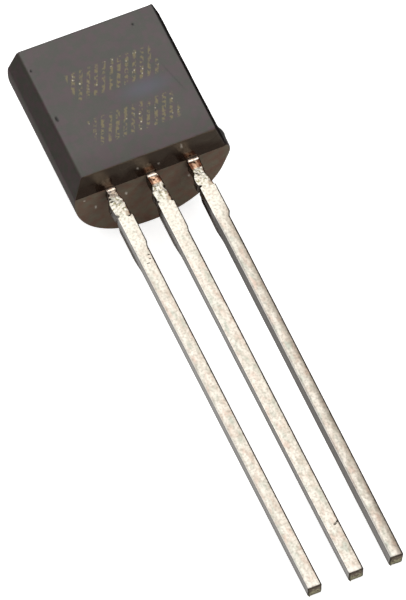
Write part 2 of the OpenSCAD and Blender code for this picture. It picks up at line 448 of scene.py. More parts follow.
def scratched(x, z):
    """How much of the scratch lies at each point: most on its line, fading at its ends and sides."""
    start, stop = np.array(SCRATCH)
    reach = np.linalg.norm(stop - start)
    run = (stop - start) / reach
    onward = (x - start[0]) * run[0] + (z - start[1]) * run[1]
    aside = (x - start[0]) * run[1] - (z - start[1]) * run[0]
    ends = smooth(0, 0.3, onward) * smooth(0, 0.3, reach - onward)
    return 0.4 * ends * smooth(2, 0.5, np.abs(aside) / SCRATCH_HALF_W)


def body_marks(points, outward, size):
    """How much of each mark lies at each point: hatching, painted shade, dust, painted sheen, haze and
    polish.

    The pits and the scratch are painted dark as the shade in their hollows. The right facet is painted
    nearly as dark as the pits, as painted shade, and so is a thin margin of the flat front beside
    it, which is a little wider towards the top. The left facet gets a little painted shade too.
    """
    x, y, z = points.T
    flat_x = size.flat_width / MM / 2
    front = smooth(0.75, 0.97, -outward[:, 1])
    cloud_x, cloud_z, cloud_half_x, cloud_half_z = PAINTED_SHEEN
    cloud = smooth(1.3, 0.0, np.hypot((x - cloud_x) / cloud_half_x, (z - cloud_z) / cloud_half_z))
    film = np.interp(x, FILM_X, FILM) * smooth(-0.25, -0.6, y + 0.3 * (lumps(points, 0.3, 11) - 0.5))
    gate = smooth(PARTING_X - 0.1, PARTING_X, x) * smooth(0.85, 0.7, z) * smooth(-0.1, 0.05, y)
    margin = 0.03 + 0.02 * smooth(2.4, 3.6, z)
    # Painted shade: the right facet and a thin margin beside it nearly black, the left facet a little darker
    right_facet = smooth(-margin - 0.012, -margin + 0.012, x - flat_x) * smooth(0.1, 0.0, y)
    left_facet = smooth(0.5, 0.9, -outward[:, 0]) * smooth(0.1, 0.0, y)
    pits = np.maximum(spots(x, z, PITS), scratched(x, z)) * front * (1 - right_facet)
    hatched = sum(
        band(left, right, HATCH_BORDER, x) * band(low, high, HATCH_BORDER, z)
        for left, right, low, high in HATCH_BANDS
    )
    return {
        "hatched": hatched * front,
        "pit_and_facet_shade": pits + 0.85 * right_facet + 0.25 * left_facet,
        "dust": spots(x, y, DUST) * (outward[:, 2] < -0.9) * (0.55 + 0.45 * (y > 0)),
        "sheen": cloud * front,
        "haze": film,
        "polish": front * (0.65 + 0.35 * smooth(0.2, 1.4, z)) + 0.06 * (1 - right_facet) + 0.5 * gate,
    }


def build_body(size, materials):
    """The moulded body: eight grids joined, rounded and marked."""
    patches = sharp_body(size)
    starts = np.cumsum([0] + [grid[..., 0].size for grid, _ in patches])
    quads = [grid_faces(*grid.shape[:2]) + start for (grid, _), start in zip(patches, starts)]
    finishes = [np.full(len(quad), finish) for quad, (_, finish) in zip(quads, patches)]
    points, outward = rounded_body(np.concatenate([grid.reshape(-1, 3) for grid, _ in patches]), size)
    marks = body_marks(points, outward, size)
    points = body_relief(points, outward, size)
    return make_piece(
        "epoxy_body", points, np.concatenate(quads), np.concatenate(finishes), materials, marks
    )


# ---- tinned leads ----

CORNER_STEPS, FACE_STEPS, SIDE_STEPS = 5, 24, 12
NECK_BOTTOM, NECK_STEP, PLAIN_STEP, INNER_STEP = -2.95, 0.012, 0.05, 0.04
CAP_SHARES = (0.9, 0.72, 0.35, 0.0)
TINNED, CUT_END = range(2)


class Neck(NamedTuple):
    """How one lead came out, in millimetres from the lead's pitch line."""

    # Left and right edges as (z, x), from the body down to the stub, and the stub's right edge
    left: tuple
    right: tuple
    stub: float
    # The stretch that the tin covered poorly: its top, its bottom and how bare it is
    bare: tuple
    # Beads and notches in the tin of the front: x, z, half width, half height
    beads: tuple
    notches: tuple
    # Left and right edges of the plain length, at the body and at the tip
    plain: tuple
    # How far the tin darkens towards the right, partly tarnish and partly painted shade of a front that turns
    # from the light, and how far down the left side is painted dark as the shade and the dark underside that
    # it mirrors
    tarnish_and_shade: float
    painted_side_shade: float
    # How dark the front's left margin is painted: painted shade standing in for a rounder corner where the
    # shears rolled it over
    rolled_corner_shade: float
    # How far it is twisted about its own axis
    turn: float = 0.0
    # How far the tin's front falls back towards the right edge, and the share of the width, from
    # -1 to 1, at which that starts
    slump: float = 0.01
    crest: float = 0.3
    # How fast the front falls back towards the left edge
    dome: float = 0.0


NECKS = {
    "emitter_lead": Neck(
        left=((0.0, -0.17), (-0.13, -0.17), (-0.17, -0.15), (-0.24, -0.16), (-0.29, -0.22), (-0.42, -0.25),
              (-0.5, -0.285), (-0.7, -0.28), (-0.9, -0.26)),
        right=((0.0, 0.13), (-0.13, 0.13), (-0.18, 0.12), (-0.3, 0.125), (-0.4, 0.16), (-0.5, 0.19),
               (-1.04, 0.185)),
        stub=0.24,
        bare=(-0.1, -0.33, 0.35),
        beads=((-0.15, -0.6, 0.1, 0.14), (0.03, -0.62, 0.12, 0.1), (0.06, -0.85, 0.1, 0.1)),
        notches=((-0.2, -0.34, 0.05, 0.04), (0.13, -1.06, 0.04, 0.025), (-0.17, -0.45, 0.03, 0.03),
                 (0.1, -2.5, 0.025, 0.012), (0.09, -2.64, 0.025, 0.014), (-0.02, -2.77, 0.05, 0.01)),
        plain=((-0.24, 0.19), (-0.205, 0.225)),
        tarnish_and_shade=0.25,
        painted_side_shade=-0.95,
        rolled_corner_shade=0.35,
    ),
    "base_lead": Neck(
        left=((0.0, -0.17), (-0.15, -0.18), (-0.35, -0.16), (-0.42, -0.17), (-0.5, -0.2),
              (-0.6, -0.25), (-0.7, -0.26), (-0.8, -0.24), (-0.9, -0.23)),
        right=((0.0, 0.11), (-0.05, 0.11), (-0.1, 0.18), (-0.33, 0.19), (-0.5, 0.2), (-0.57, 0.2),
               (-0.61, 0.15), (-0.7, 0.2), (-0.8, 0.21), (-1.04, 0.21)),
        stub=0.25,
        bare=(-0.12, -0.38, 1),
        beads=((-0.14, -0.72, 0.1, 0.14), (0.08, -0.75, 0.09, 0.12), (0.15, -0.95, 0.05, 0.05)),
        notches=((0.16, -0.55, 0.035, 0.05), (0.2, -1.06, 0.04, 0.025), (-0.03, -0.225, 0.025, 0.03),
                 (0.08, -12.76, 0.035, 0.015), (0.13, -12.73, 0.035, 0.018), (0.19, -12.69, 0.04, 0.025)),
        plain=((-0.26, 0.215), (-0.22, 0.235)),
        tarnish_and_shade=0.3,
        painted_side_shade=-1.3,
        rolled_corner_shade=0.1,
    ),
    "collector_lead": Neck(
        left=((0.0, -0.155), (-0.06, -0.155), (-0.12, -0.19), (-0.38, -0.16), (-0.5, -0.16), (-0.57, -0.2),
              (-0.65, -0.23), (-0.8, -0.24), (-0.9, -0.225)),
        right=((0.0, 0.19), (-0.13, 0.2), (-0.35, 0.19), (-0.45, 0.17), (-0.65, 0.175),
               (-0.8, 0.22), (-0.9, 0.235), (-1.04, 0.245)),
        stub=0.285,
        bare=(-0.1, -0.36, 1),
        beads=((-0.08, -0.68, 0.1, 0.11), (0.1, -0.62, 0.07, 0.07), (0.08, -0.88, 0.1, 0.1)),
        notches=((-0.08, -0.53, 0.035, 0.02), (-0.16, -0.97, 0.05, 0.03), (0.0, -0.14, 0.025, 0.05)),
        plain=((-0.2, 0.22), (-0.235, 0.175)),
        tarnish_and_shade=0.7,
        painted_side_shade=-1.75,
        rolled_corner_shade=0.7,
        turn=math.radians(6.5),
        slump=0.015,
        crest=0.0,
        dome=0.007,
    ),
}
# Heights between which the neck's left edge runs into the plain length's
NECK_END = (-0.9, -0.95)
# Below the neck, as (z, x): the nick on the left, and the stub and its slope on the right
NICK = ((-0.93, 0.0), (-0.98, 0.07), (-1.03, 0.0))
STUB_TOP, STUB_BOTTOM, SLOPE_BOTTOM = -1.06, -2.04, -2.19
# Heights between which a twisted lead takes up its turn
TURN_TOP, TURN_BOTTOM = -1.1, -3.2
# Heights between which the front starts to fall back to its edges, and the share of the width, from
# -1 to 1, at which a domed front starts to fall back to the left
FALL_TOP, FALL_BOTTOM, DOME_CREST = -0.9, -2, 0.4
# How far the tin that pooled behind the stubs stands out, and the heights where it ends
POOL, POOL_ENDS = 0.05, (-2.9, -2.2)
# Thin rim of tin round each exit: how far down it reaches and how far it stands forward
RIM_Z, RIM_OUT = -0.08, 0.03
# Lumps in the tin of a neck: each size's share, its width and its step from the lead's seed
LUMPS = ((0.5, 0.13, 0), (0.3, 0.07, 1), (0.2, 0.035, 4))
# Depth of a notch in the tin, and height of the unevenness of the plain length
NOTCH, WAVE = 0.05, 0.006
# Heights between which a tool scratched the base lead's edge
SCRATCHED = (-12.82, -12.62)
# Radius on the corners of the plates inside the body, and how far the end faces' rims are broken
PLATE_R, TIP_EDGE = 0.12, 0.035
# A plate's foot, over which its width is measured, and the least that the flag stands out beyond it
PLATE_FOOT, FLAG_STEP = 0.2, 0.1
# How far the burr at the back left of a cropped end stands out, and how dark the rim is: the end
# face's two outer rings and the first section
TIP_BURR, END_RIM = 0.04, (0.25, 0.85, 0.85)
# Half widths between which the bare copper of a throat turns brown
OXIDE_X = (0.075, 0.11)
# How far the brown of a punched edge reaches in, below the stub and beside it, and how far it blends
EDGE_BELOW, EDGE_BESIDE, EDGE_BLEND = 0.058, 0.042, 0.022
# How far brown tin reaches in above the stub, and the heights between which it ends
STAIN_X, STAIN_TOP = (0.19, 0.1), (-0.84, -0.93)


def lead_section():
    """Once round a lead's section: places between corner centres (-1 to 1), and outward directions.

    Each corner is a quarter circle, and a straight run of even steps leads to the next corner.
    """
    bend = np.linspace(0, math.pi / 2, CORNER_STEPS)
    corners = np.array([(-1, -1), (1, -1), (1, 1), (-1, 1)])
    places, outs = [], []
    for i, steps in enumerate((FACE_STEPS, SIDE_STEPS, FACE_STEPS, SIDE_STEPS)):
        turn = math.pi * (1 + i / 2) + bend
        arc = np.stack([np.cos(turn), np.sin(turn)], -1)
        share = np.linspace(0, 1, steps + 1)[1:-1, None]
        run = corners[i] + share * (corners[(i + 1) % 4] - corners[i])
        places += [np.tile(corners[i], (CORNER_STEPS, 1)), run]
        outs += [arc, np.tile(arc[-1], (steps - 1, 1))]
    return np.concatenate(places), np.concatenate(outs)


def plates(points):
    """A lead's plates inside the body as (left, right, bottom, top): its post or stem, and its flag."""
    inner = points[points[:, 2] > points[:, 2].max() / 10]
    bottom, top = inner[:, 2].min(), inner[:, 2].max()
    foot = inner[inner[:, 2] < bottom + PLATE_FOOT]
    left, right = foot[:, 0].min(), foot[:, 0].max()
    wide = inner[inner[:, 0] < left - FLAG_STEP]
    found = [(left, right, bottom, top)]
    if len(wide):
        found.append((wide[:, 0].min(), right, wide[:, 2].min(), top))
    return found


def lead_heights(found, tip):
    """Heights of a lead's sections from its tip up: close on the neck and at each step of its outline."""
    top = found[-1][3]
    bottoms = [plate[2] for plate in found]
    steps = np.array([STUB_TOP, STUB_TOP + NECK_STEP, STUB_BOTTOM, SLOPE_BOTTOM, *bottoms])
    return np.unique(np.round(np.concatenate([
        np.arange(tip + TIP_EDGE, NECK_BOTTOM, PLAIN_STEP), np.arange(NECK_BOTTOM, RIM_Z / 2, NECK_STEP),
        np.arange(RIM_Z / 2, top - TIP_EDGE, INNER_STEP), steps, steps - NECK_STEP / 3, [top - TIP_EDGE],
        np.arange(*SCRATCHED, NECK_STEP),
    ]), 5))


def edge_at(z, points):
    """Straight lines between points (z, x), given from the top down, at each height."""
    heights, values = np.transpose(points)
    return np.interp(-z, -heights, values)


def lead_edges(z, neck, found, centre, tip):
    """Left and right edge of a lead at each height: straight lines between the neck's points.

    Below the neck both edges run straight to the tip, and a plate inside the body is as wide as its
    rounded corners leave it.
    """
    at_body, at_tip = neck.plain
    plain_left, plain_right = (at_body[i] + (at_tip[i] - at_body[i]) * np.clip(z / tip, 0, 1) for i in (0, 1))
    neck_left = edge_at(z, neck.left)
    left = neck_left + smooth(*NECK_END, z) * (plain_left - neck_left) + edge_at(z, NICK)
    foot = np.interp(SLOPE_BOTTOM, z, plain_right)
    right = [*neck.right, (STUB_TOP, neck.stub), (STUB_BOTTOM, neck.stub), (SLOPE_BOTTOM, foot)]
    right = np.where(z < SLOPE_BOTTOM, plain_right, edge_at(z, right))
    left, right = left + centre, right + centre
    for plate_left, plate_right, bottom, top in found:
        near = np.clip(np.minimum(z - bottom, top - z), 0, PLATE_R)
        inset = PLATE_R - np.sqrt(PLATE_R**2 - (PLATE_R - near) ** 2)
        inside = (z >= bottom) & (z <= top)
        left = np.where(inside, np.minimum(left, plate_left + inset), left)
        right = np.where(inside, np.maximum(right, plate_right - inset), right)
    return left, right


def lead_relief(points, outs, share, neck, seed, size):
    """How far the tin stands out from the stamped section, in millimetres.

    The neck is crumpled, with beads and notches from where the tin ran together. The plain length
    is only a little uneven, and its front falls back towards its edges by the square of the way:
    share is each point's place across the lead, from -1 on the left to 1 on the right. A thin rim
    surrounds the exit.
    """
    x, _, z = np.moveaxis(points, -1, 0)
    on_neck = smooth(RIM_Z, RIM_Z - 0.1, z) * smooth(STUB_TOP - 0.1, STUB_TOP + 0.1, z)
    rough = sum(part * lumps(points, width, seed + step) for part, width, step in LUMPS)
    wavy = lumps(points * [1, 1, 0.2], 0.16, seed + 2) - 0.5
    front = smooth(0.2, 0.9, -outs[..., 1])
    beads = mounds(x, z, neck.beads) * front * on_neck
    notches = spots(x, z, neck.notches) * smooth(0.6, -0.2, outs[..., 1])
    rim = smooth(RIM_Z - 0.015, RIM_Z + 0.015, z) * smooth(0.06, 0.0, z) * front
    pool = smooth(STUB_TOP, STUB_TOP - 0.2, z) * smooth(*POOL_ENDS, z) * smooth(0, 0.7, outs[..., 1])
    fall = neck.slump * np.maximum((share - neck.crest) / (1 - neck.crest), 0) ** 2
    fall += neck.dome * np.maximum(DOME_CREST - share, 0) ** 2
    fall *= front * smooth(FALL_TOP, FALL_BOTTOM, z)
    raised = size.lump_height / MM * ((rough - 0.5) * on_neck + 0.5 * beads)
    out_of_body = smooth(0.02, -0.02, z)
    return out_of_body * (raised + WAVE * wavy - fall + POOL * pool) + RIM_OUT * rim - NOTCH * notches


def lead_marks(points, outs, share, to_left, to_right, neck, seed):
    """How much of each mark lies at each point: copper, sheared side, edges, painted shade in the notches and
    down the left side, neck and painted highlight.

    share is each point's place across the lead, from -1 on the left to 1 on the right, and to_left
    and to_right are its distances from the edges.
    """
    x, y, z = np.moveaxis(points, -1, 0)
    ragged = 0.06 * (lumps(points, 0.07, seed + 3) - 0.5)
    front, left, forward = smooth(0.6, 0, outs[..., 1]), -outs[..., 0], -outs[..., 1]
    top, bottom, most = neck.bare
    copper = most * smooth(top + 0.01, top - 0.02, z + ragged)
    copper *= smooth(bottom - 0.03, bottom + 0.03, z + ragged)
    oxide = (most > 0.5) * copper * smooth(*OXIDE_X, np.abs(x) + 0.5 * ragged)
    worn = smooth(0.065, 0.02, to_right + ragged) * front
    tie_bar = worn * smooth(STUB_TOP - 0.1, STUB_TOP + 0.05, z) * smooth(RIM_Z, RIM_Z - 0.1, z)
    wide = 0.035 + 0.05 * smooth(-0.75, -0.95, z)
    reach = np.where(z < SLOPE_BOTTOM, EDGE_BELOW, EDGE_BESIDE)
    edge = smooth(reach, reach - EDGE_BLEND, to_right + 0.3 * ragged) * front
    burr = smooth(0.1, 0.4, left) * smooth(0.1, 0.4, -forward)
    # Painted shade down the left side near the body, standing in for the shadow and the dark underside that
    # it mirrors
    side_shade_reach = smooth(neck.painted_side_shade - 0.2, neck.painted_side_shade + 0.1, z + 3 * ragged)
    painted_side_shade = 0.85 * side_shade_reach * smooth(0.3, 0.8, left)
    # Painted shade along the front's left margin, standing in for a rounder corner
    margin = smooth(0.085, 0.035, to_left + 0.7 * ragged) * front
    rolled_corner_shade = neck.rolled_corner_shade * margin * smooth(-1.9, -2.3, z)
    rim = smooth(RIM_Z - 0.03, RIM_Z, z) * smooth(0.06, 0.0, z)
    stain = smooth(*STAIN_X, to_right + ragged) * smooth(*STAIN_TOP, z)
    stain *= smooth(STUB_TOP - 0.03, STUB_TOP + 0.03, z)
    # Darker and warmer towards the right: partly tarnish, partly painted shade of a front that turns from the
    # light
    darkened = neck.tarnish_and_shade * smooth(-0.4, 0.9, share + 3 * ragged) * smooth(-1.2, -2.6, z)
    side = smooth(0.5, 0.95, left)
    # Painted highlight along the front-left corner and on the front of the tip
    corner = smooth(0.1, 0.5, left) * smooth(0.1, 0.5, forward)
    tip_front = 0.4 * smooth(z.min() + 0.25, z.min() + 0.08, z) * smooth(0.9, 1.0, forward)
    return {
        "copper": np.maximum(copper, 0.3 * rim),
        "tie_bar": np.maximum(tie_bar * smooth(wide + 0.04, wide, to_right + ragged), oxide),
        "sheared": side,
        # The sheared side darker towards the back, where it tore, and the painted shade of the left margin
        "torn": np.maximum(side * smooth(0.14, 0.34, y + ragged), rolled_corner_shade),
        # Brown over the punched right edge and the tip's burr, and painted shade down the left side near the
        # body
        "punched_and_side_shade": np.maximum(np.maximum(edge, burr), painted_side_shade) * smooth(0, -0.05, z),
        # Painted shade in the notches of the tin
        "notch_shade": spots(x, z, neck.notches) * smooth(0.6, -0.2, outs[..., 1]),
        "neck": smooth(STUB_TOP - 0.2, STUB_TOP + 0.2, z) * smooth(-0.1, -0.2, z),
        # Brown tin above the stub, and the painted shade towards the right
        "tarnish_and_shade": np.maximum(darkened, stain),
        "lighter_near_body": smooth(-5.0, -1.0, z) * smooth(-0.1, -0.25, z),
        "painted_highlight": np.maximum(corner, tip_front),
    }


def twisted(points, middle, turn):
    """Each section turned about the lead's middle: x cos - y sin and x sin + y cos of its angle."""
    x, y, z = np.moveaxis(points, -1, 0)
    twist = turn * smooth(TURN_TOP, TURN_BOTTOM, z)
    beside, behind = x - middle, y - LEAD_T / 2
    x = middle + beside * np.cos(twist) - behind * np.sin(twist)
    y = LEAD_T / 2 + beside * np.sin(twist) + behind * np.cos(twist)
    return np.stack([x, y, z], -1)


def flat_end(section, height):
    """An end face: the section drawn in towards its middle in rings, all at one height."""
    middle = section.mean(0)
    rings = middle + np.array(CAP_SHARES)[:, None, None] * (section - middle)
    rings[..., 2] = height
    return rings


def build_lead(name, seed, size, materials):
    """One lead: the rounded section carried up the lead between its edges, with flat ends."""
    cad = measured(name, ORIGIN)
    neck = NECKS[name]
    tip = cad[:, 2].min()
    at_tip = cad[cad[:, 2] < tip + TIP_EDGE, 0]
    centre = (at_tip.min() + at_tip.max()) / 2
    found = plates(cad)
    z = lead_heights(found, tip)
    left, right = (edge[:, None] for edge in lead_edges(z, neck, found, centre, tip))
    places, outs = lead_section()
    radius = size.corner_radius / MM
    middle, half = (left + right) / 2, (right - left) / 2 - radius
    x = middle + half * places[:, 0] + radius * outs[:, 0]
    y = LEAD_T / 2 + (LEAD_T / 2 - radius) * places[:, 1] + radius * outs[:, 1]
    points = np.stack(np.broadcast_arrays(x, y, z[:, None]), -1)
    turned = np.broadcast_to(outs, (*x.shape, 2))
    local = points - [centre, 0, 0]
    share = (x - middle) / (half + radius)
    marks = lead_marks(local, turned, share, x - left, right - x, neck, seed)
    points[..., :2] += turned * lead_relief(local, turned, share, neck, seed, size)[..., None]
    points = twisted(points, middle, neck.turn)
    tip_end, top_end = flat_end(points[0], tip), flat_end(points[-1], found[-1][3])
    tip_end[0, :, 2] -= TIP_BURR * smooth(0.6, 1.0, outs @ [-0.7, 0.7])
    rows = np.concatenate([tip_end[::-1], points, top_end])
    caps = len(CAP_SHARES)
    marks = {key: np.pad(values, ((caps, caps), (0, 0)), "edge").ravel() for key, values in marks.items()}
    end_rim = np.zeros(rows.shape[:2])
    end_rim[caps - 2 : caps + 1] = np.array(END_RIM)[:, None]
    marks["end_rim"] = end_rim.ravel()
    quads = grid_faces(len(rows), len(places), closed=True)
    finishes = np.where((quads // len(places)).max(1) <= caps, CUT_END, TINNED)
    return make_piece("tinned_" + name, rows.reshape(-1, 3), quads, finishes, materials, marks)


# ---- materials ----

# package_place() gives places in millimetres, so a pattern's Scale is how many of its cells fit into
# one millimetre: 18 gives grains some 0.055 mm across.


def add_node(tree, kind, inputs=None, **settings):
    """Adds a node with its settings and links.

    An input is a plain value, an output of another node, or a node whose first live output feeds it.
    """
    node = tree.nodes.new(kind)
    for key, value in settings.items():
        setattr(node, key, value)
    for key, value in (inputs or {}).items():
        if isinstance(value, bpy.types.Node):
            value = next(output for output in value.outputs if output.enabled)
        if isinstance(value, bpy.types.NodeSocket):
            tree.links.new(value, node.inputs[key])
        else:
            node.inputs[key].default_value = value
    return node


def new_material(name):
    """A material with an empty node tree."""
    material = bpy.data.materials.new(name)
    material.use_nodes = True
    material.node_tree.nodes.clear()
    return material, material.node_tree


def finish_material(material, tree, inputs):
    """Gives the tree its Principled shader and its output."""
    shader = add_node(tree, "ShaderNodeBsdfPrincipled", inputs)
    add_node(tree, "ShaderNodeOutputMaterial", {"Surface": shader})
    return material


def package_place(tree):
    """The place on the part in package millimetres: Object coordinates, turned, scaled and shifted."""
    place = add_node(tree, "ShaderNodeTexCoord").outputs["Object"]
    turned = (math.atan2(UP[1], BACK[1]), 0, 0)
    shifted = tuple(-(TURN @ ORIGIN) / MM)
    inputs = {"Vector": place, "Scale": (1 / MM,) * 3, "Rotation": turned, "Location": shifted}
    return add_node(tree, "ShaderNodeMapping", inputs)


def toned(shade, share):
    """A colour at that share of its brightness."""
    return (*(share * channel for channel in shade[:3]), 1.0)


def polished_epoxy(size):
    """Silica-filled epoxy, transfer moulded against polished steel.

    The filler gives it a faint mottle some 0.8 mm across with warm and cool blotches of 0.2 mm, and
    the polish a soft, even sheen on the flat front that dies out round its edges. The laser's
    hatching is matt golden brown in slanting strokes, broken up into stipples some 0.1 mm across
    with a few bright grains. A painted bluish sheen lies on the flat front, and painted shade
    darkens the pits, the scratch and the facets.
    """
    material, tree = new_material("polished_epoxy")
    place = package_place(tree)
    marks = {
        key: add_node(tree, "ShaderNodeAttribute", attribute_name=key).outputs["Fac"]
        for key in ("sheen", "hatched", "pit_and_facet_shade", "polish")
    }
    mottle = add_node(tree, "ShaderNodeTexNoise", {"Vector": place, "Scale": 1.2, "Detail": 6.0})
    grain = add_node(tree, "ShaderNodeTexNoise", {"Vector": place, "Scale": 18.0, "Detail": 2.0})
    shade = add_node(tree, "ShaderNodeMapRange", {"Value": mottle, "From Min": 0.35, "From Max": 0.65})
    hue = add_node(tree, "ShaderNodeTexNoise", {"Vector": place, "Scale": 4.5, "Detail": 3.0})
    hue = add_node(tree, "ShaderNodeMapRange", {"Value": hue, "From Min": 0.4, "From Max": 0.6})
    hue = {0: hue, 6: linear("57454a"), 7: linear("454a40")}
    hue = add_node(tree, "ShaderNodeMix", hue, data_type="RGBA")
    # Painted sheen: the bluish cloud on the flat front, standing in for a reflection
    blue = add_node(tree, "ShaderNodeMath", {0: marks["sheen"], 1: 0.4}, operation="MULTIPLY")
    slant = add_node(tree, "ShaderNodeVectorMath", {0: place, 1: (1.0, 0.0, -0.45)}, operation="DOT_PRODUCT")
    strokes = {"Vector": slant.outputs["Value"], "Scale": 1.31, "Distortion": 0.8, "Detail Scale": 3.0}
    strokes = add_node(tree, "ShaderNodeTexWave", strokes)
    burnt = add_node(tree, "ShaderNodeMapRange", {"Value": strokes, "From Min": 0.35, "From Max": 0.8})
    stipple = add_node(tree, "ShaderNodeTexNoise", {"Vector": place, "Scale": 9.0, "Detail": 1.0})
    struck = add_node(tree, "ShaderNodeMapRange", {"Value": stipple, "From Min": 0.42, "From Max": 0.58})
    etched = add_node(tree, "ShaderNodeMath", {0: burnt, 1: struck}, operation="MULTIPLY")
    etched = add_node(tree, "ShaderNodeMath", {0: etched, 1: marks["hatched"]}, operation="MULTIPLY")
    grit = add_node(tree, "ShaderNodeTexVoronoi", {"Vector": place, "Scale": 7.0})
    glint = add_node(tree, "ShaderNodeMapRange", {"Value": grit, "From Min": 0.22, "From Max": 0.1})
    glint = add_node(tree, "ShaderNodeMath", {0: glint, 1: etched}, operation="MULTIPLY")
    base = toned(size.polished, 0.85)
    for share, layer in (
        (shade, toned(size.polished, 1.15)),
        (0.5, hue),
        (blue, linear("5a5d72")),
        (etched, tuple(size.etched)),
        (glint, linear("d8d0bc")),
        # Painted shade in the pits, the scratch and on the facets
        (marks["pit_and_facet_shade"], linear("0c0a09")),
    ):
        base = add_node(tree, "ShaderNodeMix", {0: share, 6: base, 7: layer}, data_type="RGBA")
    shine = add_node(tree, "ShaderNodeMapRange", {"Value": marks["polish"], "To Min": 0.0, "To Max": 0.5})
    rough = add_node(tree, "ShaderNodeMapRange", {"Value": mottle, "To Min": 0.35, "To Max": 0.45})
    rough = add_node(tree, "ShaderNodeMix", {0: etched, 2: rough, 3: 0.75}, data_type="FLOAT")
    height = add_node(tree, "ShaderNodeMath", {0: grain, 1: etched}, operation="SUBTRACT")
    bump = add_node(tree, "ShaderNodeBump", {"Height": height, "Strength": 0.25, "Distance": 0.004 * MM})
    inputs = {"Base Color": base, "Roughness": rough, "Specular IOR Level": shine, "Normal": bump}
    return finish_material(material, tree, inputs)


def glossy_epoxy():
    """The same epoxy under the front half, where the steel was polished brightest.

    It looks nearly black, with a mottle some 0.2 mm across, and mirrors the leads in soft brown
    streaks, under a dull film of mould release along the foot of the flat front. A few specks of
    white mould dust stick to it.
    """
    material, tree = new_material("glossy_epoxy")
    haze, dust = (
        add_node(tree, "ShaderNodeAttribute", attribute_name=key).outputs["Fac"] for key in ("haze", "dust")
    )
    mottle = {"Vector": package_place(tree), "Scale": 5.0, "Detail": 3.0}
    mottle = add_node(tree, "ShaderNodeTexNoise", mottle)
    base = linear("150d09")
    for share, layer in ((mottle, linear("241913")), (haze, linear("3a332c")), (dust, linear("b9b2a8"))):
        base = add_node(tree, "ShaderNodeMix", {0: share, 6: base, 7: layer}, data_type="RGBA")
    rough = add_node(tree, "ShaderNodeMapRange", {"Value": mottle, "To Min": 0.06, "To Max": 0.16})
    rough = add_node(tree, "ShaderNodeMix", {0: haze, 2: rough, 3: 0.3}, data_type="FLOAT")
    shine = add_node(tree, "ShaderNodeMapRange", {"Value": haze, "To Min": 0.32, "To Max": 0.22})
    bump = add_node(tree, "ShaderNodeBump", {"Height": mottle, "Strength": 0.2, "Distance": 0.01 * MM})
    inputs = {"Base Color": base, "Roughness": rough, "Normal": bump}
    inputs.update({"Specular IOR Level": shine, "Specular Tint": linear("ffdcb8")})
    return finish_material(material, tree, inputs)


def matte_epoxy(size):
    """Silica-filled epoxy, transfer moulded against spark-eroded steel.

    The craters of the steel, some 0.07 mm across, leave it matt and brown with blotches of 0.3 mm,
    and a few specks of white mould dust stick to it.
    """
    material, tree = new_material("matte_epoxy")
    place = package_place(tree)
    dust = add_node(tree, "ShaderNodeAttribute", attribute_name="dust").outputs["Fac"]
    mottle = add_node(tree, "ShaderNodeTexNoise", {"Vector": place, "Scale": 3.5, "Detail": 5.0})
    crater = add_node(tree, "ShaderNodeTexNoise", {"Vector": place, "Scale": 14.0, "Detail": 2.0})
    shade = add_node(tree, "ShaderNodeMapRange", {"Value": mottle, "From Min": 0.35, "From Max": 0.65})
    hue = add_node(tree, "ShaderNodeTexNoise", {"Vector": place, "Scale": 3.5, "Detail": 3.0})
    hue = add_node(tree, "ShaderNodeMapRange", {"Value": hue, "From Min": 0.4, "From Max": 0.6})
    hue = {0: hue, 6: linear("70503e"), 7: linear("505240")}
    hue = add_node(tree, "ShaderNodeMix", hue, data_type="RGBA")
    base = toned(size.matte, 0.6)
    for share, layer in ((shade, toned(size.matte, 1.25)), (0.45, hue), (dust, linear("b9b2a8"))):
        base = add_node(tree, "ShaderNodeMix", {0: share, 6: base, 7: layer}, data_type="RGBA")
    rough = add_node(tree, "ShaderNodeMapRange", {"Value": crater, "To Min": 0.5, "To Max": 0.75})
    bump = add_node(tree, "ShaderNodeBump", {"Height": crater, "Strength": 0.5, "Distance": 0.012 * MM})
    inputs = {"Base Color": base, "Roughness": rough, "Specular IOR Level": 0.3, "Normal": bump}
    return finish_material(material, tree, inputs)


